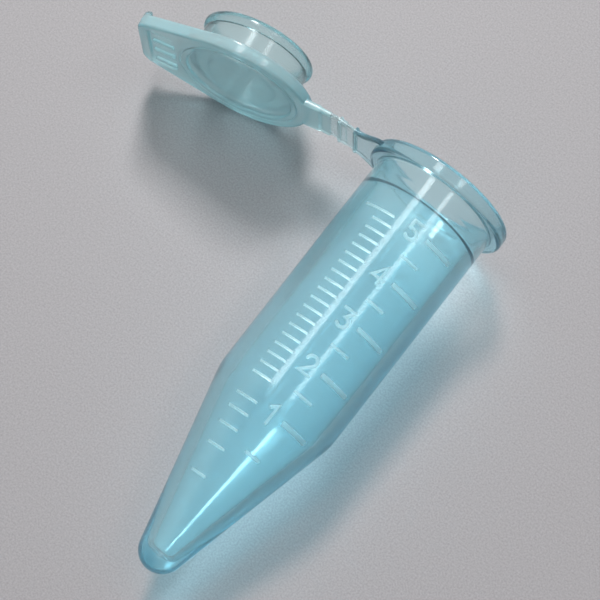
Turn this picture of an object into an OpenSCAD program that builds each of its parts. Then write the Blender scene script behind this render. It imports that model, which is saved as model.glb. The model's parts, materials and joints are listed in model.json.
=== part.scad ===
// Snap-cap sample tube of the 5 mL size, lying on its side with the lid open.
// One moulding in practice: tube, strap with two film hinges, and lid with a sealing plug.
// Row frame: +Z up, +Y from the tip towards the mouth, the lid lies towards -X.

/* [Tube] */
// Length from the tip to the rim's top face
tube_length = 59; // [56:0.5:62]
// Outer radius of the straight gauge band under the rim
gauge_r = 8.5; // [8.3:0.05:8.7]
// Length of the straight gauge band under the rim
gauge_length = 6.4; // [5.5:0.1:7]
// Outer radius at the shoulder, where the cone begins
shoulder_r = 8.35; // [8.1:0.05:8.5]
// Height of the shoulder above the tip
shoulder_z = 24.8; // [22:0.1:27]
// Outer radius of the rounded tip
tip_r = 2.87; // [2.5:0.01:3.2]

/* [Bore] */
// Radius of the bore's floor
bore_floor_r = 1.3; // [1:0.05:1.6]
// Height of the bore's floor above the tip
bore_floor_z = 2.45; // [2:0.05:3]
// Bore radius at the bore's own shoulder
bore_shoulder_r = 6.65; // [6.5:0.05:6.8]
// Height of the bore's shoulder
bore_shoulder_z = 24; // [22:0.1:24.6]
// Bore radius at the ledge under the lid's plug
bore_top_r = 6.95; // [6.8:0.05:7]
// Depth of the ledge below the rim's top face
ledge_depth = 5.2; // [5.1:0.1:5.4]
// Seat radius at the height of the plug's bead
seat_r = 7.68; // [7.65:0.01:7.8]
// Seat radius at the rim's top face, wider to let the swinging plug in
seat_mouth_r = 8.06; // [8.03:0.01:8.12]

/* [Rim] */
// Outer radius of the rim
rim_r = 9.9; // [9.6:0.1:10.2]
// Height of the rim
rim_height = 2; // [1.6:0.1:2.4]
// Edge rounding of the rim
rim_edge_r = 0.5; // [0.2:0.05:0.7]

/* [Strap] */
// Width of the strap
strap_w = 6.6; // [5.5:0.1:7.5]
// Depth of the strap's middle plane below the rim's top face
strap_depth = 1; // [0.9:0.05:1.1]
// Distance of the first film hinge from the tube's axis
hinge_x = 13.4; // [13.2:0.05:13.7]
// Distance between the two film hinges
link_length = 2.4; // [2.3:0.05:2.5]
// Length of one film hinge
film_length = 1.2; // [1:0.1:1.3]
// Thickness of a film hinge
film_t = 0.3; // [0.2:0.05:0.4]
// Thickness of the strap's web beside the hinges
web_t = 0.5; // [0.4:0.05:0.6]
// Diameter of the round bead along each strap edge
bead_d = 0.8; // [0.6:0.05:0.9]
// Width of each cross rib
rib_w = 0.45; // [0.3:0.05:0.6]
// Thickness of each cross rib
rib_t = 1.1; // [0.9:0.05:1.2]
// Angle by which the open lid lies past straight
over_open = 10.7; // [0:0.1:14]

/* [Lid] */
// Radius of the round part of the lid
lid_r = 9.75; // [9.5:0.05:9.8]
// Thickness of the lid at its border
lid_t = 1.75; // [1.5:0.05:1.8]
// Depth of the strap's middle plane below the lid's outer face
lid_strap_depth = 0.4; // [0.35:0.05:0.45]
// Middle radius of the raised ring on the outer face
ring_r = 7.72; // [7.6:0.02:7.9]
// Width of the raised ring
ring_w = 0.8; // [0.5:0.1:1]
// Depth of the centre disc below the ring
disc_recess = 0.25; // [0.1:0.05:0.4]
// Radius of the boss in the middle of the plug's floor
boss_r = 4.7; // [4:0.1:5.2]
// Height of that boss
boss_h = 0.3; // [0.2:0.05:0.4]

/* [Plug] */
// Largest radius of the plug, at its bead
plug_r = 7.6; // [7.5:0.01:7.62]
// Section radius of the bead that rounds the plug's nose
bead_section_r = 0.8; // [0.6:0.05:0.85]
// Height of the plug from the lid's underside to its nose
plug_h = 4.65; // [4.4:0.05:4.7]
// Outer radius of the skirt behind the bead
skirt_r = 7.2; // [7:0.05:7.3]
// Inner radius of the skirt
skirt_bore_r = 6.3; // [6.1:0.05:6.4]

/* [Tab] */
// Distance of the tab's end from the lid's centre
tab_end = 14.1; // [13.5:0.1:14.5]
// Half width of the tab at its end
tab_half_w = 5.8; // [5.4:0.1:6]
// Corner radius of the tab
tab_corner_r = 2.2; // [1.8:0.1:2.6]
// Width of the border around the tab's recess
tab_border = 1.4; // [1:0.1:1.8]
// Depth of the recess in the tab's outer face
tab_recess = 0.55; // [0.4:0.05:0.7]
// Spacing of the grip ribs
grip_pitch = 2.7; // [2.4:0.1:2.9]
// Width of a grip rib
grip_w = 0.7; // [0.5:0.1:0.9]
// Height of the lip under the tab's end
lip_h = 0.5; // [0.3:0.1:0.7]

/* [Scale] */
// Height that the marks and numerals stand proud
mark_proud = 0.15; // [0.1:0.01:0.2]
// Height of a numeral
numeral_h = 2.8; // [2.4:0.1:3]

/* [Hidden] */
$fn = 96;

// Colours of the tinted polypropylene: thick walls, thin walls, marks and the lid
body_colour = [0.45, 0.73, 0.82];
clear_colour = [0.70, 0.84, 0.90];
mark_colour = [0.85, 0.95, 0.97];
lid_colour = [0.50, 0.78, 0.84];

// Heights along the tube, measured from the tip
rim_z = tube_length - rim_height;
gauge_z = rim_z - gauge_length;
ledge_z = tube_length - ledge_depth;
strap_z = tube_length - strap_depth;

// The cone's side leaves the tip's sphere as a tangent and ends at the shoulder
tip_to_shoulder = norm([shoulder_r, shoulder_z - tip_r]);
cone_angle = atan(shoulder_r / (shoulder_z - tip_r)) - asin(tip_r / tip_to_shoulder);
tip_tangent = [tip_r * cos(cone_angle), tip_r - tip_r * sin(cone_angle)];
cone_slope = tan(cone_angle);
barrel_slope = (gauge_r - shoulder_r) / (gauge_z - shoulder_z);

// Bead centre: its height above the lid's outer face and its height in the closed tube
bead_z = lid_t + plug_h - bead_section_r;
lid_top_z = strap_z + link_length + lid_strap_depth;
seat_bead_z = lid_top_z - bead_z;

// The tube lies on the shoulder and on the rim's rounded edge
edge_run = rim_z + rim_edge_r - shoulder_z;
edge_rise = rim_r - rim_edge_r - shoulder_r;
tilt = atan(edge_rise / edge_run) + asin(rim_edge_r / norm([edge_run, edge_rise]));
floor_depth = shoulder_r * cos(tilt) - shoulder_z * sin(tilt);

// Place of the open lid's centre, on its outer face, in the tube's frame
lid_x = hinge_x + link_length + hinge_x * cos(over_open) - lid_strap_depth * sin(over_open);
lid_z = strap_z - hinge_x * sin(over_open) - lid_strap_depth * cos(over_open);

// Reach of the part along the row frame's X and Y, which sets the origin at the middle of its base
reach_x = lid_x + tab_end * cos(over_open) + (lid_t + lip_h) * sin(over_open);
bead_lean = norm([sin(over_open) * cos(tilt), sin(tilt)]);
reach_y = (lid_z + bead_z * cos(over_open)) * cos(tilt) + (plug_r - bead_section_r) * bead_lean
    + bead_section_r;
tip_y = tip_r * (cos(tilt) - 1);
origin_x = (rim_r - reach_x) / 2;
origin_y = (reach_y + tip_y) / 2;

// Strap zones on the tube's side and on the link, as distances from the tube's axis
film_near_x = hinge_x - film_length / 2;
film_far_x = hinge_x + film_length / 2;
lid_film_near_x = hinge_x + link_length - film_length / 2;

// Strap zones on the lid's side, as distances from the lid's centre
lid_film_end = -hinge_x + film_length / 2;
pad_thick_end = -11.7;

// Thickness of the pad's thick part, and width of the web between the two edge beads
pad_t = 1;
web_w = strap_w - bead_d;

// How far the strap's two roots start inside the rim and the lid, before their round sides trim them
lug_root = 1.5;
pad_root = 1;

// Gusset beside the lug: its corner, as a distance past the rim and a flare, and its root under the rim
gusset_corner = [0.6, 1.4];
gusset_root = 2;
gusset_root_flare = 1.8;

// Recess of the tab, as distances from the lid's centre
recess_gap = 0.8;
recess_from = ring_r + ring_w / 2 + recess_gap;
recess_to = tab_end - tab_border;
recess_side_border = 1;
recess_half_w = tab_half_w - recess_side_border;
recess_corner_r = 1;

// Grip ribs: how many, the space left at their two ends, and how far they stay below the outer face
grip_count = 4;
rib_gap_inner = 0.2;
rib_gap_outer = 0.5;
rib_depth = tab_recess / 3;

// The skirt narrows a little over the stretch between the lid and the bead
skirt_draft = 0.1;
skirt_straight = 0.7;

// Bore volume in microlitres up to a bore radius r, in a taper of slope k that starts at r0
function taper_volume(r, r0, k) = PI / (3 * k) * (pow(r, 3) - pow(r0, 3));
function taper_radius(v, r0, k) = pow(pow(r0, 3) + 3 * k * v / PI, 1 / 3);
bore_cone_slope = (bore_shoulder_r - bore_floor_r) / (bore_shoulder_z - bore_floor_z);
bore_slope = (bore_top_r - bore_shoulder_r) / (ledge_z - bore_shoulder_z);
cone_volume = taper_volume(bore_shoulder_r, bore_floor_r, bore_cone_slope);

// Height of the liquid's surface at a volume in microlitres
function level_z(v) = v < cone_volume
    ? bore_floor_z + (taper_radius(v, bore_floor_r, bore_cone_slope) - bore_floor_r) / bore_cone_slope
    : bore_shoulder_z
        + (taper_radius(v - cone_volume, bore_shoulder_r, bore_slope) - bore_shoulder_r) / bore_slope;

// Outer radius of the tube at height z
function outer_r(z) = z < shoulder_z ? shoulder_r - (shoulder_z - z) * cone_slope
    : min(gauge_r, shoulder_r + (z - shoulder_z) * barrel_slope);

// Angles around the tube, from the hinge's side over the top
major_angles = [115, 146];
half_angles = [105.5, 124];
fine_angles = [67, 86];
fine_full_angles = [53, 83];
fine_cone_angles = [64, 87];
numeral_angle = 102;
major_h = 0.65;
half_h = 0.4;
fine_h = 0.3;

// Volumes in microlitres: steps of the fine and the major marks, and where the marks begin and end
fine_step = 200;
major_step = 1000;
last_volume = 5000;
first_barrel_volume = 1400;

// Width of a numeral's stroke
numeral_stroke = 0.42;

// Patch of wall that a numeral is cut from: margin in height, and angle to each side
numeral_margin = 0.4;
numeral_spread = 12;

// Frames: the tube's own frame in the row frame, then the open lid's frame in the tube's frame
module place_tube() {
    translate([-origin_x, -origin_y, floor_depth]) rotate([tilt, 0, 0]) rotate([90, 0, 180]) children();
}

module place_lid() {
    place_tube() translate([lid_x, 0, lid_z]) rotate([0, over_open, 0]) children();
}

// Half section of the tube's outside, below the rim
module outer_section() {
    intersection() {
        union() {
            translate([0, tip_r]) circle(tip_r);
            polygon([[0, tip_r], tip_tangent, [shoulder_r, shoulder_z], [gauge_r, gauge_z],
                [gauge_r, rim_z], [0, rim_z]]);
        }
        square([gauge_r, rim_z]);
    }
}

// Half section of the space inside, open at the mouth
module bore_section() {
    above = tube_length + 1;
    polygon([[0, bore_floor_z], [bore_floor_r, bore_floor_z], [bore_shoulder_r, bore_shoulder_z],
        [bore_top_r, ledge_z], [seat_r, ledge_z], [seat_r, seat_bead_z], [seat_mouth_r, tube_length],
        [seat_mouth_r, above], [0, above]]);
}

// Ring of tube wall between two heights
module wall_between(low, high) {
    rotate_extrude() intersection() {
        difference() {
            outer_section();
            bore_section();
        }
        translate([0, low]) square([2 * gauge_r, high - low]);
    }
}

// Rectangle with round corners, from one corner to the opposite one
module round_box(low, high, r) {
    size = high - low;
    translate([low.x + r, low.y]) square([size.x - 2 * r, size.y]);
    translate([low.x, low.y + r]) square([size.x, size.y - 2 * r]);
    for (x = [low.x + r, high.x - r], y = [low.y + r, high.y - r]) translate([x, y]) circle(r);
}

// Flat bar across the strap, centred on the strap's middle plane
module strap_bar(from, to, width, thickness) {
    translate([from, -width / 2, -thickness / 2]) cube([to - from, width, thickness]);
}

// The two round beads along the strap's edges
module edge_rods(from, to) {
    for (side = [-1, 1]) translate([from, side * (strap_w - bead_d) / 2, 0])
        rotate([0, 90, 0]) cylinder(d = bead_d, h = to - from);
}

// Raised bar on the tube's outside, centred on height z
module wall_bar(z, height, angles) {
    low = z - height / 2;
    high = z + height / 2;
    rotate([0, 0, angles[0]]) rotate_extrude(angle = angles[1] - angles[0])
        polygon([[outer_r(low), low], [outer_r(low) + mark_proud, low],
            [outer_r(high) + mark_proud, high], [outer_r(high), high]]);
}

// Straight stroke of a numeral with round ends
module stroke(from, to) {
    run = to - from;
    translate(from) rotate(atan2(run.y, run.x)) translate([0, -numeral_stroke / 2])
        square([norm(run), numeral_stroke]);
    for (end = [from, to]) translate(end) circle(d = numeral_stroke);
}

// Part of a round stroke of mean radius r, kept by the wedge that its children draw
module bow(centre, r) {
    translate(centre) intersection() {
        difference() {
            circle(r + numeral_stroke / 2);
            circle(r - numeral_stroke / 2);
        }
        children();
    }
}

// Round bowl at the foot of a 3 or a 5, open towards the upper left
module foot_bowl(centre, r) {
    reach = 2;
    bow(centre, r) union() {
        translate([0, -reach]) square([reach, 2 * reach]);
        translate([-reach, -reach]) square([reach + 0.01, reach * 0.8]);
    }
}

// Numerals drawn in a box numeral_h high, centred on the origin
module figure(digit) {
    top = numeral_h / 2 - numeral_stroke / 2;
    wide = 0.75;
    bowl = 0.68;
    reach = 2;
    foot = [-0.05, bowl - top];
    foot_top = [foot.x, foot.y + bowl];
    if (digit == 1) {
        stroke([0.2, -top], [0.2, top]);
        stroke([0.2, top], [-0.45, top - 0.55]);
    }
    if (digit == 2) {
        bow([0, top - bowl], bowl) polygon([[0, 0], [-reach, 0.2], [-reach, reach], [reach, reach],
            [reach, -reach], [reach * 0.7, -reach]]);
        stroke([bowl * 0.63, top - bowl * 1.68], [-wide * 0.97, 0.01 - top]);
        stroke([-wide, -top], [wide, -top]);
    }
    if (digit == 3) {
        stroke([-wide, top], [wide * 0.8, top]);
        stroke([wide * 0.8, top], foot_top);
        foot_bowl(foot, bowl);
    }
    if (digit == 4) {
        stroke([0.35, -top], [0.35, top]);
        stroke([0.35, top], [-wide, -0.5]);
        stroke([-wide, -0.5], [wide + 0.1, -0.5]);
    }
    if (digit == 5) {
        stroke([wide * 0.8, top], [-wide * 0.8, top]);
        stroke([-wide * 0.8, top], [-wide * 0.8, foot_top.y]);
        stroke([-wide * 0.8, foot_top.y], foot_top);
        foot_bowl(foot, bowl);
    }
}

// Numeral wrapped on the tube's outside at the height of its own volume in millilitres
module numeral(digit) {
    z = level_z(digit * major_step);
    from = numeral_angle - numeral_spread;
    to = numeral_angle + numeral_spread;
    color(mark_colour) place_tube() intersection() {
        wall_bar(z, numeral_h + numeral_margin, [from, to]);
        rotate([0, 0, numeral_angle]) translate([gauge_r / 2, 0, z]) rotate([90, 0, 90])
            linear_extrude(gauge_r) figure(digit);
    }
}

// Points of an arc about a centre, from one angle to another
function arc_points(centre, r, from, to, steps) =
    [for (i = [0 : steps]) let (a = from + (to - from) * i / steps) centre + r * [cos(a), sin(a)]];

// Lid's outline: a round plate and a tab with round corners, joined by tangent sides
module lid_outline() {
    corner = [tab_end - tab_corner_r, tab_half_w - tab_corner_r];
    lean = atan2(corner.y, corner.x) + acos((lid_r - tab_corner_r) / norm(corner));
    plate_steps = 88;
    corner_steps = 12;
    polygon(concat(
        arc_points([0, 0], lid_r, lean, 360 - lean, plate_steps),
        arc_points([corner.x, -corner.y], tab_corner_r, -lean, 0, corner_steps),
        arc_points(corner, tab_corner_r, 0, lean, corner_steps)));
}

// Recess in the tab's outer face, between the raised ring and the tab's border
module tab_recess_outline() {
    round_box([recess_from, -recess_half_w], [recess_to, recess_half_w], recess_corner_r);
}

module tip() {
    color(body_colour) place_tube() wall_between(0, bore_floor_z);
}

module cone() {
    color(body_colour) place_tube() wall_between(bore_floor_z, shoulder_z);
}

module barrel() {
    color(body_colour) place_tube() wall_between(shoulder_z, gauge_z);
}

module seat_collar() {
    color(clear_colour) place_tube() wall_between(gauge_z, rim_z);
}

// Rim, drawn into the bore's space and then cut by the bore
module mouth_rim() {
    inner_r = seat_r - 1;
    color(body_colour) place_tube() rotate_extrude() difference() {
        union() {
            round_box([gauge_r, rim_z], [rim_r, tube_length], rim_edge_r);
            translate([inner_r, rim_z]) square([gauge_r + rim_edge_r - inner_r, rim_height]);
        }
        bore_section();
    }
}

module hinge_lug() {
    color(body_colour) place_tube() difference() {
        translate([0, 0, strap_z]) {
            strap_bar(rim_r - lug_root, film_near_x, web_w, web_t);
            strap_bar(film_near_x - rib_w, film_near_x, web_w, rib_t);
        }
        cylinder(r = rim_r, h = 2 * tube_length);
    }
}

module lug_gussets() {
    outer = strap_w / 2;
    color(body_colour) place_tube() difference() {
        translate([0, 0, strap_z - bead_d / 2]) linear_extrude(bead_d)
            for (side = [-1, 1]) polygon([[film_near_x - 2 * rib_w, side * outer],
                [rim_r + gusset_corner.x, side * (outer + gusset_corner.y)],
                [rim_r - gusset_root, side * (outer + gusset_root_flare)],
                [rim_r - gusset_root, side * outer]]);
        cylinder(r = rim_r, h = 2 * tube_length);
    }
}

module lug_edge_beads() {
    color(body_colour) place_tube() difference() {
        translate([0, 0, strap_z]) edge_rods(rim_r - lug_root, film_near_x);
        cylinder(r = rim_r, h = 2 * tube_length);
    }
}

module fine_marks_barrel() {
    color(mark_colour) place_tube() {
        for (v = [first_barrel_volume : fine_step : last_volume - fine_step])
            wall_bar(level_z(v), fine_h, fine_angles);
        wall_bar(level_z(last_volume), fine_h, fine_full_angles);
    }
}

module fine_marks_cone() {
    color(mark_colour) place_tube() for (v = [fine_step : fine_step : major_step])
        wall_bar(level_z(v), fine_h, fine_cone_angles);
}

module major_marks() {
    color(mark_colour) place_tube() for (v = [major_step : major_step : last_volume])
        wall_bar(level_z(v), major_h, major_angles);
}

module half_marks() {
    color(mark_colour) place_tube() for (v = [major_step / 2 : major_step : last_volume])
        wall_bar(level_z(v), half_h, half_angles);
}

module numeral_1() {
    numeral(1);
}

module numeral_2() {
    numeral(2);
}

module numeral_3() {
    numeral(3);
}

module numeral_4() {
    numeral(4);
}

module numeral_5() {
    numeral(5);
}

module film_hinge_tube() {
    color(clear_colour) place_tube() translate([0, 0, strap_z])
        strap_bar(film_near_x, film_far_x, web_w, film_t);
}

module link_panel() {
    color(clear_colour) place_tube() translate([0, 0, strap_z])
        strap_bar(film_far_x, lid_film_near_x - rib_w, web_w, web_t);
}

module link_rib() {
    color(body_colour) place_tube() translate([0, 0, strap_z])
        strap_bar(lid_film_near_x - rib_w, lid_film_near_x, strap_w, rib_t);
}

module link_edge_beads() {
    color(body_colour) place_tube() translate([0, 0, strap_z])
        edge_rods(film_far_x, lid_film_near_x - rib_w);
}

// Film bent at the hinge axis, from the link's rib to the lid's pad
module film_hinge_lid() {
    half_t = film_t / 2;
    reach = film_length / 2;
    far = [reach * cos(over_open), -reach * sin(over_open)];
    far_side = half_t * [sin(over_open), cos(over_open)];
    bend = half_t * [tan(over_open / 2), 1];
    color(clear_colour) place_tube() translate([hinge_x + link_length, 0, strap_z])
        rotate([90, 0, 0]) linear_extrude(web_w, center = true)
            polygon([[-reach, -half_t], -bend, far - far_side, far + far_side, bend, [-reach, half_t]]);
}

module hinge_pad() {
    color(lid_colour) place_lid() difference() {
        translate([0, 0, lid_strap_depth]) {
            strap_bar(lid_film_end, pad_root - lid_r, web_w, web_t);
            translate([0, 0, (pad_t - 2 * lid_strap_depth) / 2])
                strap_bar(pad_thick_end, pad_root - lid_r, web_w, pad_t);
        }
        translate([0, 0, -lid_t]) cylinder(r = lid_r, h = 3 * lid_t);
    }
}

module pad_edge_beads() {
    color(lid_colour) place_lid() difference() {
        translate([0, 0, lid_strap_depth]) edge_rods(lid_film_end, pad_root - lid_r);
        translate([0, 0, -lid_t]) cylinder(r = lid_r, h = 3 * lid_t);
    }
}

module lid_disc() {
    color(lid_colour) place_lid() translate([0, 0, disc_recess])
        cylinder(r = ring_r - ring_w / 2, h = lid_t - disc_recess);
}

module lid_boss() {
    color(lid_colour) place_lid() translate([0, 0, lid_t]) cylinder(r = boss_r, h = boss_h);
}

module face_ring() {
    color(lid_colour) place_lid() rotate_extrude()
        translate([ring_r - ring_w / 2, 0]) square([ring_w, lid_t]);
}

module lid_border() {
    color(lid_colour) place_lid() linear_extrude(lid_t) difference() {
        lid_outline();
        circle(ring_r + ring_w / 2);
        tab_recess_outline();
    }
}

module tab_web() {
    color(clear_colour) place_lid() translate([0, 0, tab_recess])
        linear_extrude(lid_t - tab_recess) tab_recess_outline();
}

module tab_grip_ribs() {
    rib_from = recess_from + rib_gap_inner;
    rib_to = recess_to - rib_gap_outer;
    outermost = (grip_count - 1) / 2;
    color(lid_colour) place_lid() translate([0, 0, rib_depth]) linear_extrude(tab_recess - rib_depth)
        for (step = [-outermost : outermost]) translate([rib_from, step * grip_pitch - grip_w / 2])
            square([rib_to - rib_from, grip_w]);
}

module tab_lip() {
    color(lid_colour) place_lid() translate([0, 0, lid_t]) linear_extrude(lip_h) intersection() {
        lid_outline();
        translate([recess_to, -tab_half_w]) square([tab_border, 2 * tab_half_w]);
    }
}

module plug_skirt() {
    color(clear_colour) place_lid() rotate_extrude()
        polygon([[skirt_bore_r, lid_t], [skirt_r - skirt_draft, lid_t],
            [skirt_r, bead_z - skirt_straight],
            [skirt_r, bead_z], [skirt_bore_r, bead_z]]);
}

module plug_bead() {
    color(clear_colour) place_lid() rotate_extrude() difference() {
        translate([plug_r - bead_section_r, bead_z]) circle(bead_section_r);
        translate([skirt_bore_r, 0]) square([skirt_r - skirt_bore_r, bead_z]);
    }
}

tip();
cone();
barrel();
seat_collar();
mouth_rim();
hinge_lug();
lug_gussets();
lug_edge_beads();
fine_marks_barrel();
fine_marks_cone();
major_marks();
half_marks();
numeral_1();
numeral_2();
numeral_3();
numeral_4();
numeral_5();
film_hinge_tube();
link_panel();
link_rib();
link_edge_beads();
film_hinge_lid();
hinge_pad();
pad_edge_beads();
lid_disc();
lid_boss();
face_ring();
lid_border();
plug_skirt();
plug_bead();
tab_web();
tab_grip_ribs();
tab_lip();
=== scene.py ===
"""Snap-cap sample tube of the 5 mL size, lying on its side with the lid open.

Every mesh is built in millimetres in the tube's own frame, with z from the tip to the mouth, x towards the
hinge and y up, or in the lid's own frame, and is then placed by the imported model's mounts and joints.
"""

import json
import math

import bmesh
import bpy
from mathutils import Matrix, Vector


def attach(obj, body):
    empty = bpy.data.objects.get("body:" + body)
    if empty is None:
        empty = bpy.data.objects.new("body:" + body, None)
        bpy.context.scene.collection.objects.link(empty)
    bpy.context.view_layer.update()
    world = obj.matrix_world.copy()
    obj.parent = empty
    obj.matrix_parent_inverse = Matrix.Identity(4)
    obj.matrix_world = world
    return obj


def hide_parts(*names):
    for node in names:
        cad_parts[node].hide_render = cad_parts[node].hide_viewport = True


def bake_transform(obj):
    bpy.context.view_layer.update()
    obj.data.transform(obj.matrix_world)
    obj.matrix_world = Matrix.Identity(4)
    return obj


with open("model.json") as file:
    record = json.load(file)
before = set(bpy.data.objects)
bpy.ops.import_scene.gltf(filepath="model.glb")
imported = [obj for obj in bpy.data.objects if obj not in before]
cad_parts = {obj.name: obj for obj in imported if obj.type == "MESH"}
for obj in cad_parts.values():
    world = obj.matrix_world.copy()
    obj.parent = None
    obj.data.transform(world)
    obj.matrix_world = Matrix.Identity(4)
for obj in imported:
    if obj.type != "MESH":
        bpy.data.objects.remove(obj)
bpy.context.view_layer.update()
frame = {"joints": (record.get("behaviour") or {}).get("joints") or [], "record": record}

MM = 0.001
CAMERA_AZIMUTH, CAMERA_ELEVATION = 35.4, 70.1
SEGMENTS = 192  # around a round wall
ON_AXIS = 1e-9  # millimetres: a point nearer the axis than this is one point
MERGE_DISTANCE = 1e-8  # metres
FLAT_DISTANCE = 1e-7  # metres: edges shorter than this are taken out
SOFT_DEGREES = 50  # thin pieces stay smooth up to this angle

# Sizes in millimetres, as the CAD model has them
TUBE_LENGTH = 59.0
GAUGE_R = 8.5
GAUGE_LENGTH = 6.4
SHOULDER_R = 8.35
SHOULDER_Z = 24.8
TIP_R = 2.87
BORE_FLOOR_R = 1.3
BORE_FLOOR_Z = 2.45
BORE_SHOULDER_R = 6.65
BORE_SHOULDER_Z = 24.0
BORE_TOP_R = 6.95
LEDGE_Z = 53.8
SEAT_R = 7.68
SEAT_MOUTH_R = 8.06
RIM_R = 9.9
RIM_HEIGHT = 2.0
RIM_EDGE_R = 0.5
STRAP_W = 6.6
BEAD_D = 0.8
WEB_T = 0.5
FILM_T = 0.3
FILM_LENGTH = 1.2
RIB_W = 0.45
RIB_T = 1.1
LID_R = 9.75
LID_T = 1.75
LID_STRAP_DEPTH = 0.4
RING_R = 7.72
RING_W = 0.8
DISC_RECESS = 0.25
BOSS_R = 4.7
BOSS_H = 0.3
PLUG_R = 7.6
PLUG_H = 4.65
PLUG_BEAD_R = 0.8
SKIRT_R = 7.2
SKIRT_BORE_R = 6.3
TAB_END = 14.1
TAB_HALF_W = 5.8
TAB_CORNER_R = 2.2
TAB_BORDER = 1.4
TAB_RECESS = 0.55
RECESS_GAP = 0.8
RECESS_SIDE_BORDER = 1
RECESS_CORNER_R = 1
GRIP_PITCH = 2.7
GRIP_W = 0.7
GRIP_GAP_INNER = 0.2
GRIP_GAP_OUTER = 0.5
LIP_H = 0.5
MARK_PROUD = 0.15
NUMERAL_H = 2.8
NUMERAL_STROKE = 0.42
FINE_H = 0.3
HALF_H = 0.4
MAJOR_H = 0.65

# The scale's volumes in microlitres and its angles in degrees round the tube, as the CAD model has them
FINE_STEP = 200
MAJOR_STEP = 1000
FIRST_BARREL_VOLUME = 1400
LAST_VOLUME = 5000
FINE_ANGLES = (67, 86)
FINE_FULL_ANGLES = (53, 83)
FINE_CONE_ANGLES = (64, 87)
HALF_ANGLES = (105.5, 124)
MAJOR_ANGLES = (115, 146)
NUMERAL_ANGLE = 102

# Sizes in millimetres of the moulded shapes that the CAD model has only in plain form
LUG_ROOT = 8.3  # where the lug starts, inside the rim's wall
LUG_FLARE = 1.75  # how much wider it is to each side at the rim
LUG_FLARE_FROM = 0.7  # where it begins to widen, before the film
LUG_FLARE_TO = 1.3  # where it has widened, inside the rim's edge
FILM_OVERLAP = 0.04  # how far a film runs into its neighbours
FILM_SIDE_GAP = 0.05
FILM_BEAD_D = 0.44
LID_EDGE_R = 0.35
PAD_ROOT = 1.4  # how far the pad runs into the lid
PAD_THICK_PART = (-10.1, 3.2, 0.98)  # middle, width and thickness
PAD_DROP = 0.09  # how far the thick part lies below the strap's middle plane
PAD_DROP_RUN = (-12, -11.4)

RIM_Z = TUBE_LENGTH - RIM_HEIGHT
GAUGE_Z = RIM_Z - GAUGE_LENGTH
BEAD_Z = LID_T + PLUG_H - PLUG_BEAD_R


# ---------------------------------------------------------------- frames

def joint(name):
    return next(j for j in frame["joints"] if j["name"] == name)


def tube_frame():
    """Matrix from the tube's own frame, in millimetres, to the row frame, in metres."""
    gauge = next(m for m in frame["record"]["mounts"] if m["name"] == "rack_fit")
    along = -Vector(gauge["axis"]).normalized()
    up = -Vector(joint("tube_film_hinge")["axis"]).normalized()
    across = up.cross(along).normalized()
    tip = Vector(gauge["pos_m"]) - along * (RIM_Z - GAUGE_LENGTH / 2) * MM
    turn = Matrix((across, up, along)).transposed().to_4x4()
    return Matrix.Translation(tip) @ turn @ Matrix.Scale(MM, 4)


TUBE = tube_frame()
HINGE_A = TUBE.inverted() @ Vector(joint("tube_film_hinge")["pos_m"])
HINGE_B = TUBE.inverted() @ Vector(joint("lid_film_hinge")["pos_m"])
OVER_OPEN = math.radians(joint("lid_film_hinge")["range_deg"][1] - 90)
LID = (TUBE @ Matrix.Translation(HINGE_B) @ Matrix.Rotation(OVER_OPEN, 4, "Y")
       @ Matrix.Translation((HINGE_A.x, 0, -LID_STRAP_DEPTH)))


# ---------------------------------------------------------------- outlines and sections

def polar(radius, degrees):
    """Point on a circle about the origin."""
    angle = math.radians(degrees)
    return Vector((radius * math.cos(angle), radius * math.sin(angle)))


def arc(centre, radius, start, end, steps):
    """Points of an arc, angles in degrees."""
    span = (end - start) / steps
    return [Vector(centre) + polar(radius, start + span * i) for i in range(steps + 1)]


def rounded(corners):
    """Open outline through corners (x, y, fillet radius), with its corners rounded.

    Long straight stretches get a point close to each end, so that smooth shading keeps them straight.
    """
    support = 0.12
    degrees_per_step = 12
    points = []
    for i, (x, y, fillet) in enumerate(corners):
        here = Vector((x, y))
        if fillet == 0 or i in (0, len(corners) - 1):
            points.append(here)
            continue
        back = (Vector(corners[i - 1][:2]) - here).normalized()
        ahead = (Vector(corners[i + 1][:2]) - here).normalized()
        half = back.angle(ahead) / 2
        centre = here + (back + ahead).normalized() * (fillet / math.sin(half))
        reach = fillet / math.tan(half)
        first = here + back * reach - centre
        last = here + ahead * reach - centre
        turn = math.pi - 2 * half
        side = 1 if first.x * last.y > first.y * last.x else -1
        steps = max(3, round(math.degrees(turn) / degrees_per_step))
        for k in range(steps + 1):
            a = side * turn * k / steps
            points.append(centre + Vector((first.x * math.cos(a) - first.y * math.sin(a),
                                           first.x * math.sin(a) + first.y * math.cos(a))))
    held = [points[0]]
    for a, b in zip(points, points[1:]):
        run = b - a
        if run.length > 5 * support:
            step = run.normalized() * support
            held += [a + step, b - step]
        if run.length > 1e-6:
            held.append(b)
    return held


def outer_r(z):
    """Outer radius of the tube at height z."""
    if z >= SHOULDER_Z:
        return min(GAUGE_R, SHOULDER_R + (z - SHOULDER_Z) / (GAUGE_Z - SHOULDER_Z) * (GAUGE_R - SHOULDER_R))
    return SHOULDER_R - (SHOULDER_Z - z) * math.tan(CONE_ANGLE)


CONE_ANGLE = (math.atan(SHOULDER_R / (SHOULDER_Z - TIP_R))
              - math.asin(TIP_R / math.hypot(SHOULDER_R, SHOULDER_Z - TIP_R)))


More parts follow.
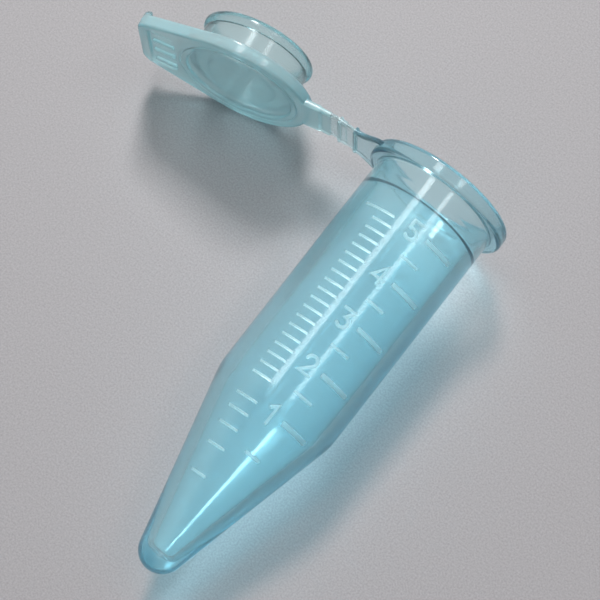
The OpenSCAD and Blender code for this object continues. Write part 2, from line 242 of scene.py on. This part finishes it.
def tube_section():
    """Half section of the tube: up the outside from the tip, over the rim and down the bore."""
    cone_end = math.degrees(CONE_ANGLE)
    tip = arc((0, TIP_R), TIP_R, -90, -cone_end, 14)
    last = tip[-1]
    return tip[:-1] + rounded([
        (last.x, last.y, 0),
        (SHOULDER_R, SHOULDER_Z, 9),
        (GAUGE_R, GAUGE_Z, 20),
        (GAUGE_R, RIM_Z, 0.25),
        (RIM_R, RIM_Z, RIM_EDGE_R),
        (RIM_R, TUBE_LENGTH, RIM_EDGE_R),
        (SEAT_MOUTH_R, TUBE_LENGTH, 0.3),
        (SEAT_R, LEDGE_Z + 1.4, 1),
        (SEAT_R, LEDGE_Z, 0.25),
        (BORE_TOP_R, LEDGE_Z, 0.25),
        (BORE_SHOULDER_R, BORE_SHOULDER_Z, 8),
        (BORE_FLOOR_R, BORE_FLOOR_Z, 0.8),
        (0, BORE_FLOOR_Z, 0)])


def lid_outline():
    """Points and outward normals round the lid's edge: the round plate, the tangent sides and the tab."""
    corner = Vector((TAB_END - TAB_CORNER_R, TAB_HALF_W - TAB_CORNER_R))
    lean = math.degrees(math.atan2(corner.y, corner.x)
                        + math.acos((LID_R - TAB_CORNER_R) / corner.length))
    plate_steps, side_steps, corner_steps, end_steps = 176, 16, 14, 12
    outline = []

    def add_arc(centre, radius, start, end, steps):
        for i in range(steps + 1):
            normal = polar(1, start + (end - start) * i / steps)
            outline.append((Vector(centre) + radius * normal, normal))

    def add_line(end_point, steps):
        start_point, normal = outline[-1]
        for i in range(1, steps):
            outline.append((start_point.lerp(end_point, i / steps), normal))

    add_arc((0, 0), LID_R, lean, 360 - lean, plate_steps)
    low = Vector((corner.x, -corner.y))
    add_line(low + polar(TAB_CORNER_R, -lean), side_steps)
    add_arc(low, TAB_CORNER_R, -lean, 0, corner_steps)
    add_line(corner + polar(TAB_CORNER_R, 0), end_steps)
    add_arc(corner, TAB_CORNER_R, 0, lean, corner_steps)
    add_line(polar(LID_R, lean), side_steps)
    return outline


# ---------------------------------------------------------------- meshes

def make_object(name, points, faces, matrix):
    """Closed mesh from points in millimetres, placed by matrix, with its normals outward."""
    mesh = bpy.data.meshes.new(name)
    mesh.from_pydata([matrix @ Vector(p) for p in points], [], faces)
    shape = bmesh.new()
    shape.from_mesh(mesh)
    bmesh.ops.remove_doubles(shape, verts=shape.verts, dist=MERGE_DISTANCE)
    bmesh.ops.recalc_face_normals(shape, faces=shape.faces)
    shape.to_mesh(mesh)
    shape.free()
    piece = bpy.data.objects.new(name, mesh)
    bpy.context.scene.collection.objects.link(piece)
    return piece


def revolve(name, section, matrix):
    """Solid of revolution about z from an open section whose two ends lie on the axis."""
    points, rings = [], []
    for p in section:
        if p.x < ON_AXIS:
            rings.append([len(points)] * SEGMENTS)
            points.append((0, 0, p.y))
        else:
            rings.append(list(range(len(points), len(points) + SEGMENTS)))
            points += [(*polar(p.x, 360 * i / SEGMENTS), p.y) for i in range(SEGMENTS)]
    return make_object(name, points, bridge_all(rings), matrix)


def bridge_all(rings):
    """Faces between each ring of vertices and the next."""
    faces = []
    for low, high in zip(rings, rings[1:]):
        for i in range(len(low)):
            k = (i + 1) % len(low)
            corners = [low[i], low[k], high[k], high[i]]
            face = [c for n, c in enumerate(corners) if c not in corners[:n]]
            if len(face) > 2:
                faces.append(face)
    return faces


def prism(name, layers, matrix):
    """Closed mesh through layers of points, all layers alike in number, with flat end faces."""
    points, rings = [], []
    for layer in layers:
        rings.append(list(range(len(points), len(points) + len(layer))))
        points += layer
    return make_object(name, points, bridge_all(rings) + [rings[0], rings[-1]], matrix)


def combine(target, tool, operation):
    """Joins tool to target, or cuts it out of target, and removes tool."""
    step = target.modifiers.new("combine", "BOOLEAN")
    step.operation = operation
    step.solver = "EXACT"
    step.object = tool
    depsgraph = bpy.context.evaluated_depsgraph_get()
    result = bpy.data.meshes.new_from_object(target.evaluated_get(depsgraph))
    target.modifiers.clear()
    old = target.data
    target.data = result
    bpy.data.meshes.remove(old)
    bpy.data.objects.remove(tool)


def smooth(piece, degrees=32):
    """Smooth shading, with edges steeper than that left sharp."""
    shape = bmesh.new()
    shape.from_mesh(piece.data)
    bmesh.ops.dissolve_degenerate(shape, edges=shape.edges, dist=FLAT_DISTANCE)
    limit = math.radians(degrees)
    for face in shape.faces:
        face.smooth = True
    for edge in shape.edges:
        edge.smooth = len(edge.link_faces) == 2 and edge.calc_face_angle(0) < limit
    shape.to_mesh(piece.data)
    shape.free()


# ---------------------------------------------------------------- tube

def blend_step(value, low, high):
    """0 below low, 1 above high, and a smooth step between them."""
    t = min(1, max(0, (value - low) / (high - low)))
    return t * t * (3 - 2 * t)


def strap_piece(name, stations, half_width, web, ribs, matrix, centre=lambda x: 0, bead=BEAD_D):
    """Stretch of the strap: a web with a round bead along each edge and ribs across it.

    stations are distances along the strap; ribs are (middle, width, thickness).
    """
    rib_top, rib_foot = 0.32, 0.62  # half widths of a rib's flat top and of its foot, as shares of its width
    rib_end = 0.18  # a rib runs out over this distance from the strap's edge
    bead_r = bead / 2
    across = [-1, -0.985, -0.95, -0.9, -0.84, -0.78, -0.72, -0.6, -0.3, 0]
    across += [-v for v in reversed(across[:-1])]
    points, rows = [], []
    for x in stations:
        row_top, row_low = [], []
        for v in across:
            y = v * half_width(x)
            inset = half_width(x) - abs(y)
            if inset < 2 * bead_r:
                edge = 2 * math.sqrt(max(0, bead_r ** 2 - (bead_r - inset) ** 2))
            else:
                edge = 0
            rib = max([0] + [t * (1 - blend_step(abs(x - m), rib_top * w, rib_foot * w)) for m, w, t in ribs])
            rib *= min(1, inset / rib_end)
            body = web if inset > bead_r else 0
            thick = max(edge, body, rib)
            row_top.append((x, y, centre(x) + thick / 2))
            row_low.append((x, y, centre(x) - thick / 2))
        loop = row_top + row_low[-2:0:-1]
        rows.append(list(range(len(points), len(points) + len(loop))))
        points += loop
    faces = bridge_all(rows) + [rows[0], rows[-1]]
    return make_object(name, points, faces, matrix)


def spaced(start, end, step):
    """Values from start to end, about step apart."""
    count = max(1, math.ceil(abs(end - start) / step))
    return [start + (end - start) * i / count for i in range(count + 1)]


STRAP = TUBE @ Matrix.Translation((0, 0, HINGE_A.z))
LUG_END = HINGE_A.x - FILM_LENGTH / 2
LINK_START = HINGE_A.x + FILM_LENGTH / 2
LINK_END = HINGE_B.x - FILM_LENGTH / 2
PAD_START = FILM_LENGTH / 2 - HINGE_A.x  # in the lid's frame


def lug_half_width(x):
    """Half width of the strap beside the tube, where it flares into the rim."""
    return STRAP_W / 2 + LUG_FLARE * blend_step(-x, LUG_FLARE_FROM - LUG_END, LUG_FLARE_TO - RIM_R)


def make_tube():
    """Tube wall, rim and hinge lug as one moulded skin."""
    tube = revolve("tube_shell", tube_section(), TUBE)
    lug = strap_piece("lug", spaced(LUG_ROOT, LUG_END, 0.08), lug_half_width, WEB_T,
                      [(LUG_END - RIB_W / 2, RIB_W, RIB_T)], STRAP)
    combine(tube, lug, "UNION")
    smooth(tube)
    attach(tube, "tube")
    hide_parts("tip", "cone", "barrel", "seat_collar", "mouth_rim", "hinge_lug", "lug_gussets",
                "lug_edge_beads")
    return tube


def make_link():
    """Middle of the strap, between the two film hinges."""
    link = strap_piece("strap_link_panel", spaced(LINK_START, LINK_END, 0.06), lambda x: STRAP_W / 2,
                       WEB_T, [(LINK_END - RIB_W / 2, RIB_W, RIB_T)], STRAP)
    smooth(link)
    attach(link, "strap_link")
    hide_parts("link_panel", "link_rib", "link_edge_beads")
    return link


def bend_about(points, pivot_x, start, end, angle):
    """Points of a flat strap, turned about x = pivot_x by an angle that grows from start to end."""
    bent = []
    for x, y, z in points:
        turn = Matrix.Rotation(angle * blend_step(x, start, end), 3, "Y")
        bent.append(Vector((pivot_x, 0, 0)) + turn @ Vector((x - pivot_x, y, z)))
    return bent


def make_films():
    """The two film hinges between their neighbours, each bent to its angle at rest."""
    films = []
    for name, node, start, pivot, rest, before, after in [
            ("film_web_tube", "film_hinge_tube", LUG_END, HINGE_A.x, 0, "tube", "strap_link"),
            ("film_web_lid", "film_hinge_lid", LINK_END, HINGE_B.x, OVER_OPEN, "strap_link", "lid")]:
        end = start + FILM_LENGTH
        film = strap_piece(name, spaced(start - FILM_OVERLAP, end + FILM_OVERLAP, 0.05),
                           lambda x: STRAP_W / 2 - FILM_SIDE_GAP, FILM_T, [], Matrix.Identity(4),
                           bead=FILM_BEAD_D)
        flat = [v.co.copy() for v in film.data.vertices]
        for v, place in zip(film.data.vertices, bend_about(flat, pivot, start, end, rest)):
            v.co = STRAP @ place
        smooth(film, SOFT_DEGREES)
        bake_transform(film)
        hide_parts(node)
        films.append(film)
    return films


# ---------------------------------------------------------------- lid

def lid_section():
    """Sections of the lid as (radius, height), outer face then underside, for its round middle."""
    ring_in, ring_out = RING_R - RING_W / 2, RING_R + RING_W / 2
    face = rounded([
        (0, DISC_RECESS, 0),
        (ring_in - 0.12, DISC_RECESS, 0.15),
        (ring_in + 0.08, 0, 0.15),
        (ring_out - 0.06, 0, 0.15),
        (ring_out + 0.08, 0.14, 0.1),
        (ring_out + 0.3, 0.05, 0.2),
        (ring_out + 0.5, 0.05, 0)])
    bead = (PLUG_R - PLUG_BEAD_R, BEAD_Z)
    start = -math.degrees(math.acos((SKIRT_R - bead[0]) / PLUG_BEAD_R))
    stop = 180 + math.degrees(math.acos((bead[0] - SKIRT_BORE_R) / PLUG_BEAD_R))
    nose = arc(bead, PLUG_BEAD_R, start, stop, 30)
    root = rounded([
        (SKIRT_R + 0.8, LID_T, 0),
        (SKIRT_R - 0.1, LID_T, 0.3),
        (nose[0].x, nose[0].y, 0)])
    floor = rounded([
        (nose[-1].x, nose[-1].y, 0),
        (SKIRT_BORE_R, LID_T, 0.4),
        (BOSS_R, LID_T, 0.15),
        (BOSS_R - 0.1, LID_T + BOSS_H, 0.15),
        (0, LID_T + BOSS_H, 0)])
    return face, root[:-1] + nose + floor[1:]


def make_lid_plate():
    """Round plate, tab outline, raised ring and plug as one closed skin."""
    outline = lid_outline()
    count = len(outline)
    bearings = [math.atan2(p.y, p.x) for p, _ in outline]
    face, inside = lid_section()
    edge_r, support = LID_EDGE_R, 0.08
    layers = []

    def circle(radius, z):
        if radius < ON_AXIS:
            layers.append([(0, 0, z)])
        else:
            layers.append([(radius * math.cos(b), radius * math.sin(b), z) for b in bearings])

    def edge(inset, z):
        layers.append([(*(p - normal * inset), z) for p, normal in outline])

    def between(radius, inset, share, z):
        ring = []
        for (p, normal), b in zip(outline, bearings):
            ring.append((*(polar(radius, math.degrees(b)).lerp(p - normal * inset, share)), z))
        layers.append(ring)

    for p in face:
        circle(p.x, p.y)
    face_z = face[-1].y
    for share in (0.25, 0.5, 0.75):
        between(face[-1].x, edge_r, share, face_z)
    edge(edge_r + support, face_z)
    for p in arc((-edge_r, face_z + edge_r), edge_r, -90, 0, 5):
        edge(-p.x, p.y)
    edge(0, face_z + edge_r + 0.1)
    edge(0, LID_T - edge_r - 0.1)
    for p in arc((-edge_r, LID_T - edge_r), edge_r, 0, 90, 5):
        edge(-p.x, p.y)
    edge(edge_r + support, LID_T)
    for share in (0.75, 0.5, 0.25):
        between(inside[0].x, edge_r, share, LID_T)
    for p in inside:
        circle(p.x, p.y)
    points, rings = [], []
    for layer in layers:
        if len(layer) == 1:
            rings.append([len(points)] * count)
        else:
            rings.append(list(range(len(points), len(points) + count)))
        points += layer
    return make_object("lid_shell", points, bridge_all(rings), LID)


def round_rectangle(low, high, radius):
    """Points round a rectangle with round corners."""
    points = []
    for x, y, start in ((high[0], high[1], 0), (low[0], high[1], 90), (low[0], low[1], 180),
                        (high[0], low[1], 270)):
        centre = (x - math.copysign(radius, x - (low[0] + high[0]) / 2),
                  y - math.copysign(radius, y - (low[1] + high[1]) / 2))
        points += arc(centre, radius, start, start + 90, 8)
    return points


def rounded_block(name, low, high, corner_r, heights, matrix):
    """Block with round corners whose outline shrinks by inset at each (inset, z)."""
    layers = []
    for inset, z in heights:
        ring = round_rectangle((low[0] + inset, low[1] + inset), (high[0] - inset, high[1] - inset),
                               max(0.02, corner_r - inset))
        layers.append([(*p, z) for p in ring])
    return prism(name, layers, matrix)


def make_lid():
    """Lid plate with the tab's recess, grip ribs and lip, and the strap's pad."""
    lid = make_lid_plate()
    recess_from = RING_R + RING_W / 2 + RECESS_GAP
    recess_to = TAB_END - TAB_BORDER
    half = TAB_HALF_W - RECESS_SIDE_BORDER
    recess = rounded_block("recess", (recess_from, -half), (recess_to, half), RECESS_CORNER_R,
                           [(-0.12, -0.3), (-0.12, 0.0), (0.05, 0.16), (0.08, TAB_RECESS - 0.15),
                            (0.12, TAB_RECESS - 0.06), (0.22, TAB_RECESS)], LID)
    combine(lid, recess, "DIFFERENCE")
    for step in (-1.5, -0.5, 0.5, 1.5):
        middle = step * GRIP_PITCH
        rib = rounded_block("rib", (recess_from + GRIP_GAP_INNER, middle - GRIP_W / 2),
                            (recess_to - GRIP_GAP_OUTER, middle + GRIP_W / 2), 0.3,
                            [(0, TAB_RECESS + 0.2), (0, 0.3), (0.06, 0.23), (0.16, TAB_RECESS / 3)], LID)
        combine(lid, rib, "UNION")
    lip_inset = 0.02
    lip_outline = [p - normal * lip_inset for p, normal in lid_outline() if p.x > recess_to]
    lip_middle = Vector(((recess_to + TAB_END) / 2, 0))
    layers = []
    for scale, z in ((1, LID_T - 0.6), (1, LID_T + LIP_H - 0.2), (0.98, LID_T + LIP_H - 0.06),
                     (0.94, LID_T + LIP_H)):
        layers.append([(*(lip_middle + (p - lip_middle) * scale), z) for p in lip_outline])
    combine(lid, prism("lip", layers, LID), "UNION")
    strap = LID @ Matrix.Translation((0, 0, LID_STRAP_DEPTH))
    pad = strap_piece("pad", spaced(PAD_START, -LID_R + PAD_ROOT, 0.08), lambda x: STRAP_W / 2,
                      WEB_T, [PAD_THICK_PART], strap,
                      centre=lambda x: PAD_DROP * blend_step(x, *PAD_DROP_RUN))
    combine(lid, pad, "UNION")
    smooth(lid)
    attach(lid, "lid")
    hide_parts("hinge_pad", "pad_edge_beads", "lid_disc", "lid_boss", "face_ring", "lid_border",
                "plug_skirt", "plug_bead", "tab_web", "tab_grip_ribs", "tab_lip")
    return lid


# ---------------------------------------------------------------- volume scale

def taper_volume(radius, start_r, slope):
    """Volume in cubic millimetres of a taper from start_r to radius."""
    return math.pi / (3 * slope) * (radius ** 3 - start_r ** 3)


def taper_radius(volume, start_r, slope):
    """Radius at which a taper from start_r holds that volume."""
    return (start_r ** 3 + 3 * slope * volume / math.pi) ** (1 / 3)


def level_z(volume):
    """Height of the liquid's surface at a volume in microlitres."""
    cone_slope = (BORE_SHOULDER_R - BORE_FLOOR_R) / (BORE_SHOULDER_Z - BORE_FLOOR_Z)
    barrel_slope = (BORE_TOP_R - BORE_SHOULDER_R) / (LEDGE_Z - BORE_SHOULDER_Z)
    cone_volume = taper_volume(BORE_SHOULDER_R, BORE_FLOOR_R, cone_slope)
    if volume < cone_volume:
        return BORE_FLOOR_Z + (taper_radius(volume, BORE_FLOOR_R, cone_slope) - BORE_FLOOR_R) / cone_slope
    radius = taper_radius(volume - cone_volume, BORE_SHOULDER_R, barrel_slope)
    return BORE_SHOULDER_Z + (radius - BORE_SHOULDER_R) / barrel_slope


def wrap(degrees, z, proud):
    """Point on the tube's outside at an angle round it and a height, standing proud of it."""
    return (*polar(outer_r(z) + proud, degrees), z)


def wall_bar(points, faces, z, height, angles):
    """Adds a raised bar with soft edges that follows the tube's outside."""
    lift = [(-0.5, -0.03), (-0.5, 0.06), (-0.44, 0.12), (-0.28, MARK_PROUD), (0.28, MARK_PROUD),
            (0.44, 0.12), (0.5, 0.06), (0.5, -0.03)]
    steps = max(4, round((angles[1] - angles[0]) / 2))
    end_share = 0.35  # of half the bar's height, for each of the two steps that round its end
    ends = math.degrees(end_share * height / 2 / outer_r(z))
    stations = [(angles[0], 0.6), (angles[0] + ends, 1)]
    stations += [(a, 1) for a in spaced(angles[0] + 2 * ends, angles[1] - 2 * ends, 2)]
    stations += [(angles[1] - ends, 1), (angles[1], 0.6)]
    rings = []
    for a, share in stations:
        rings.append(list(range(len(points), len(points) + len(lift))))
        points += [wrap(a, z + height * v * (0.5 + 0.5 * share), h if h < 0 else h * share) for v, h in lift]
    faces += bridge_all(rings) + [rings[0], rings[-1]]


def make_bars(name, bars, node):
    """One piece of several bars (height on the tube, bar height, angles), standing for a CAD node."""
    points, faces = [], []
    for z, height, angles in bars:
        wall_bar(points, faces, z, height, angles)
    finish_mark(make_object(name, points, faces, TUBE), node)


def finish_mark(piece, node):
    """Common last steps of a raised mark."""
    smooth(piece, SOFT_DEGREES)
    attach(piece, "tube")
    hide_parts(node)
    MARKS.append(piece)


MARKS = []


def numeral_strokes(digit):
    """Centre lines of a numeral, in a box NUMERAL_H high about the origin."""
    top = NUMERAL_H / 2 - NUMERAL_STROKE / 2
    wide, bowl = 0.75, 0.68
    neck = 2 * bowl - top
    foot = arc((-0.05, bowl - top), bowl, 90, -140, 18)
    return {
        1: [[(-0.45, top - 0.55), (0.2, top), (0.2, -top)]],
        2: [arc((0, top - bowl), bowl, 172, -52, 16) + [Vector((-wide, -top)), Vector((wide, -top))]],
        3: [[(-wide, top), (wide * 0.8, top), (-0.05, neck)] + foot[1:]],
        4: [[(0.35, -top), (0.35, top), (-wide, -0.5), (wide + 0.1, -0.5)]],
        5: [[(wide * 0.8, top), (-wide * 0.8, top), (-wide * 0.8, neck), (-0.05, neck)] + foot[1:]],
    }[digit]


def numeral_ridge(points, faces, path, z0):
    """Adds a soft raised ridge along a numeral's centre line, wrapped on the tube."""
    path = [Vector(p) for p in path]
    half = NUMERAL_STROKE / 2
    section = [(-1, -0.03), (-1, 0.05), (-0.86, 0.11), (-0.55, MARK_PROUD), (0.55, MARK_PROUD),
               (0.86, 0.11), (1, 0.05), (1, -0.03)]
    first, last = (path[1] - path[0]).normalized(), (path[-1] - path[-2]).normalized()
    stations = []
    for share, back in ((0.25, 1), (0.75, 0.72), (0.95, 0.35)):
        stations.append((path[0] - first * half * back, Vector((-first.y, first.x)) * half * share))
    for i, p in enumerate(path):
        before = (p - path[i - 1]).normalized() if i else first
        after = (path[i + 1] - p).normalized() if i + 1 < len(path) else last
        mid = (before + after).normalized()
        stretch = 1 / max(0.5, mid.dot(before))
        stations.append((p, Vector((-mid.y, mid.x)) * half * min(1.9, stretch)))
    for share, ahead in ((0.95, 0.35), (0.75, 0.72), (0.25, 1)):
        stations.append((path[-1] + last * half * ahead, Vector((-last.y, last.x)) * half * share))
    rings = []
    for centre, side in stations:
        rings.append(list(range(len(points), len(points) + len(section))))
        for v, h in section:
            p = centre + side * v
            z = z0 + p.y
            points.append(wrap(NUMERAL_ANGLE + math.degrees(p.x / outer_r(z0)), z, h))
    faces += bridge_all(rings) + [rings[0], rings[-1]]


def make_scale():
    """Fine marks, half marks, major marks and numerals."""
    def bars(volumes, height, angles):
        return [(level_z(v), height, angles) for v in volumes]

    barrel = bars(range(FIRST_BARREL_VOLUME, LAST_VOLUME, FINE_STEP), FINE_H, FINE_ANGLES)
    barrel += bars([LAST_VOLUME], FINE_H, FINE_FULL_ANGLES)
    cone = bars(range(FINE_STEP, MAJOR_STEP + 1, FINE_STEP), FINE_H, FINE_CONE_ANGLES)
    major = bars(range(MAJOR_STEP, LAST_VOLUME + 1, MAJOR_STEP), MAJOR_H, MAJOR_ANGLES)
    half = bars(range(MAJOR_STEP // 2, LAST_VOLUME, MAJOR_STEP), HALF_H, HALF_ANGLES)
    make_bars("fine_scale_barrel", barrel, "fine_marks_barrel")
    make_bars("fine_scale_cone", cone, "fine_marks_cone")
    make_bars("major_scale", major, "major_marks")
    make_bars("half_scale", half, "half_marks")
    for digit in (1, 2, 3, 4, 5):
        points, faces = [], []
        for path in numeral_strokes(digit):
            numeral_ridge(points, faces, path, level_z(MAJOR_STEP * digit))
        finish_mark(make_object(f"scale_numeral_{digit}", points, faces, TUBE), f"numeral_{digit}")


# ---------------------------------------------------------------- materials

def node_material(name):
    """New material with its node tree, its shader and a helper that adds a node."""
    material = bpy.data.materials.new(name)
    material.use_nodes = True
    tree = material.node_tree
    shader = tree.nodes["Principled BSDF"]

    def add(kind, **inputs):
        made = tree.nodes.new(kind)
        for key, value in inputs.items():
            made.inputs[key.replace("_", " ")].default_value = value
        return made

    return material, tree, shader, add


def polypropylene(name, colour, clear, rough, depth_colour, density, lit_colour, fade=None):
    """Tinted, slightly milky polypropylene with the faint ripple of a polished mould.

    fade, as (matrix, from, to, clearness), makes the wall clearer between two heights along a part's axis.
    """
    paler, darker = 1.03, 0.96  # the cloud's two tints, as shares of the colour
    rougher, smoother = 1.25, 0.8
    material, tree, shader, add = node_material(name)
    link = tree.links.new
    place = add("ShaderNodeTexCoord")
    cloud = add("ShaderNodeTexNoise", Scale=260.0, Detail=3.0)
    link(place.outputs["Object"], cloud.inputs["Vector"])
    tint = add("ShaderNodeMix")
    tint.data_type = "RGBA"
    tint.inputs["A"].default_value = (*[c * darker for c in colour], 1)
    tint.inputs["B"].default_value = (*[min(1, c * paler) for c in colour], 1)
    link(cloud.outputs["Fac"], tint.inputs["Factor"])
    link(tint.outputs["Result"], shader.inputs["Base Color"])
    gloss = add("ShaderNodeMapRange")
    gloss.inputs["To Min"].default_value = rough * smoother
    gloss.inputs["To Max"].default_value = rough * rougher
    link(cloud.outputs["Fac"], gloss.inputs["Value"])
    link(gloss.outputs["Result"], shader.inputs["Roughness"])
    ripple = add("ShaderNodeTexNoise", Scale=900.0, Detail=2.0)
    link(place.outputs["Object"], ripple.inputs["Vector"])
    bump = add("ShaderNodeBump", Strength=0.12, Distance=0.00005)
    link(ripple.outputs["Fac"], bump.inputs["Height"])
    link(bump.outputs["Normal"], shader.inputs["Normal"])
    shader.inputs["IOR"].default_value = 1.49
    if fade:
        matrix, start, end, clear_end = fade
        axis = (matrix.to_3x3() @ Vector((0, 0, 1))).normalized()
        height = add("ShaderNodeVectorMath")
        height.operation = "DOT_PRODUCT"
        height.inputs[1].default_value = axis
        link(place.outputs["Object"], height.inputs[0])
        clearing = add("ShaderNodeMapRange")
        clearing.inputs["From Min"].default_value = axis.dot(matrix @ Vector((0, 0, start)))
        clearing.inputs["From Max"].default_value = axis.dot(matrix @ Vector((0, 0, end)))
        clearing.inputs["To Min"].default_value = clear
        clearing.inputs["To Max"].default_value = clear_end
        link(height.outputs["Value"], clearing.inputs["Value"])
        link(clearing.outputs["Result"], shader.inputs["Transmission Weight"])
    else:
        shader.inputs["Transmission Weight"].default_value = clear
    inside = add("ShaderNodeVolumeAbsorption", Color=(*depth_colour, 1), Density=density)
    link(inside.outputs["Volume"], tree.nodes["Material Output"].inputs["Volume"])
    # Light from the lamps reaches the floor through the wall, tinted by it
    path = add("ShaderNodeLightPath")
    through = add("ShaderNodeBsdfTransparent", Color=(*lit_colour, 1))
    either = add("ShaderNodeMixShader")
    link(path.outputs["Is Shadow Ray"], either.inputs[0])
    link(shader.outputs["BSDF"], either.inputs[1])
    link(through.outputs["BSDF"], either.inputs[2])
    link(either.outputs["Shader"], tree.nodes["Material Output"].inputs["Surface"])
    return material


def floor_material():
    """Pale grey matte table top with a very fine grain."""
    material, tree, shader, add = node_material("studio_floor")
    link = tree.links.new
    place = add("ShaderNodeTexCoord")
    grain = add("ShaderNodeTexNoise", Scale=4200.0, Detail=4.0)
    link(place.outputs["Object"], grain.inputs["Vector"])
    tone = add("ShaderNodeMix")
    tone.data_type = "RGBA"
    tone.inputs["A"].default_value = (0.25, 0.24, 0.25, 1)
    tone.inputs["B"].default_value = (0.53, 0.512, 0.53, 1)
    link(grain.outputs["Fac"], tone.inputs["Factor"])
    link(tone.outputs["Result"], shader.inputs["Base Color"])
    shader.inputs["Roughness"].default_value = 0.55
    return material


# ---------------------------------------------------------------- studio

def make_floor():
    """Wide plain floor."""
    half = 2.0
    corners = [(-half, -half, 0), (half, -half, 0), (half, half, 0), (-half, half, 0)]
    floor = make_object("studio_floor", corners, [(0, 1, 2, 3)], Matrix.Identity(4))
    floor.data.materials.append(floor_material())


def softbox(name, aim, back, distance, size, power, along):
    """Rectangular area light that looks at a point from a direction, its long side following along."""
    lamp = bpy.data.lights.new(name, "AREA")
    lamp.shape = "RECTANGLE"
    lamp.size, lamp.size_y = size
    lamp.energy = power
    lamp_object = bpy.data.objects.new(name, lamp)
    bpy.context.scene.collection.objects.link(lamp_object)
    side = along.cross(back).normalized()
    turn = Matrix((side, back.cross(side), back)).transposed()
    lamp_object.matrix_world = Matrix.Translation(Vector(aim) + back * distance) @ turn.to_4x4()


def direction(azimuth, elevation):
    """Unit vector from the object towards a viewer. Azimuth 0 looks along +Y and 90 along -X."""
    a, e = math.radians(azimuth), math.radians(elevation)
    return Vector((math.sin(a) * math.cos(e), -math.cos(a) * math.cos(e), math.sin(e)))


def make_camera():
    """Camera at the photo's viewing angle."""
    roll = 1.76
    aim = Vector((11.13, 5.66, 9.34)) * MM
    distance = 261.35 * MM
    camera = bpy.data.cameras.new("camera")
    camera.sensor_width = 36
    camera.lens = 129
    camera.clip_start, camera.clip_end = 0.01, 20
    camera_object = bpy.data.objects.new("camera", camera)
    bpy.context.scene.collection.objects.link(camera_object)
    back = direction(CAMERA_AZIMUTH, CAMERA_ELEVATION)
    camera_object.location = aim + back * distance
    camera_object.rotation_mode = "QUATERNION"
    turn = Matrix.Rotation(math.radians(roll), 3, "Z").to_quaternion()
    camera_object.rotation_quaternion = back.to_track_quat("Z", "Y") @ turn
    bpy.context.scene.camera = camera_object


def mirror_direction(wall_angle):
    """Direction that the barrel's wall, at an angle round it, reflects into the camera."""
    normal = (TUBE.to_3x3() @ Vector((*polar(1, wall_angle), 0))).normalized()
    view = direction(CAMERA_AZIMUTH, CAMERA_ELEVATION)
    return (2 * normal.dot(view) * normal - view).normalized()


def make_studio():
    """Key and fill softboxes, two strips that streak the barrel, a pale surround and the floor."""
    make_floor()
    aim = Vector((0, 0.01, 0.01))
    tube_axis = (TUBE.to_3x3() @ Vector((0, 0, 1))).normalized()
    softbox("key_softbox", aim, direction(215, 50), distance=1.2, size=(0.2, 0.3), power=11.0,
            along=tube_axis)
    softbox("fill_softbox", aim, direction(20, 45), distance=1.3, size=(0.5, 0.7), power=1.6,
            along=tube_axis)
    for name, wall_angle, width, power in (("left_strip", 89, 0.17, 1.9), ("right_strip", 109, 0.13, 1.1)):
        softbox(name, aim, mirror_direction(wall_angle), distance=1.0, size=(width, 0.6), power=power,
                along=tube_axis)
    scene = bpy.context.scene
    scene.world = bpy.data.worlds.new("studio")
    scene.world.use_nodes = True
    surround = scene.world.node_tree.nodes["Background"]
    surround.inputs["Color"].default_value = (0.9, 0.89, 0.9, 1)
    # Bright walls for what the plastic mirrors and bends, and less of their light on matt surfaces
    tree = scene.world.node_tree
    path = tree.nodes.new("ShaderNodeLightPath")
    level = tree.nodes.new("ShaderNodeMapRange")
    level.inputs["To Min"].default_value = 0.55
    level.inputs["To Max"].default_value = 0.05
    tree.links.new(path.outputs["Is Diffuse Ray"], level.inputs["Value"])
    tree.links.new(level.outputs["Result"], surround.inputs["Strength"])
    scene.view_settings.view_transform = "Standard"
    scene.cycles.max_bounces = 24
    scene.cycles.transmission_bounces = 20


# ---------------------------------------------------------------- build

make_camera()
tube = make_tube()
link_panel = make_link()
films = make_films()
lid = make_lid()
make_scale()

tube_plastic = polypropylene("tinted_polypropylene", colour=(0.76, 0.94, 0.97), clear=0.88, rough=0.09,
                             depth_colour=(0.28, 0.74, 0.84), density=210, lit_colour=(0.775, 0.795, 0.802),
                             fade=(TUBE, LEDGE_Z - 1.2, LEDGE_Z + 0.3, 0.94))
lid_plastic = polypropylene("lid_polypropylene", colour=(0.82, 0.98, 1.0), clear=0.60, rough=0.14,
                            depth_colour=(0.30, 0.82, 0.89), density=150, lit_colour=(0.30, 0.33, 0.34),
                            fade=(LID, LID_T - 0.1, LID_T + 0.6, 0.96))
strap_plastic = polypropylene("strap_polypropylene", colour=(0.86, 0.97, 0.99), clear=0.80, rough=0.12,
                              depth_colour=(0.40, 0.84, 0.92), density=100, lit_colour=(0.70, 0.74, 0.75))
mark_plastic = polypropylene("mark_polypropylene", colour=(0.80, 0.96, 0.99), clear=0.88, rough=0.30,
                             depth_colour=(0.60, 0.88, 0.94), density=40, lit_colour=(0.90, 0.94, 0.95))
tube.data.materials.append(tube_plastic)
link_panel.data.materials.append(strap_plastic)
lid.data.materials.append(lid_plastic)
for piece in films:
    piece.data.materials.append(strap_plastic)
for piece in MARKS:
    piece.data.materials.append(mark_plastic)

make_studio()
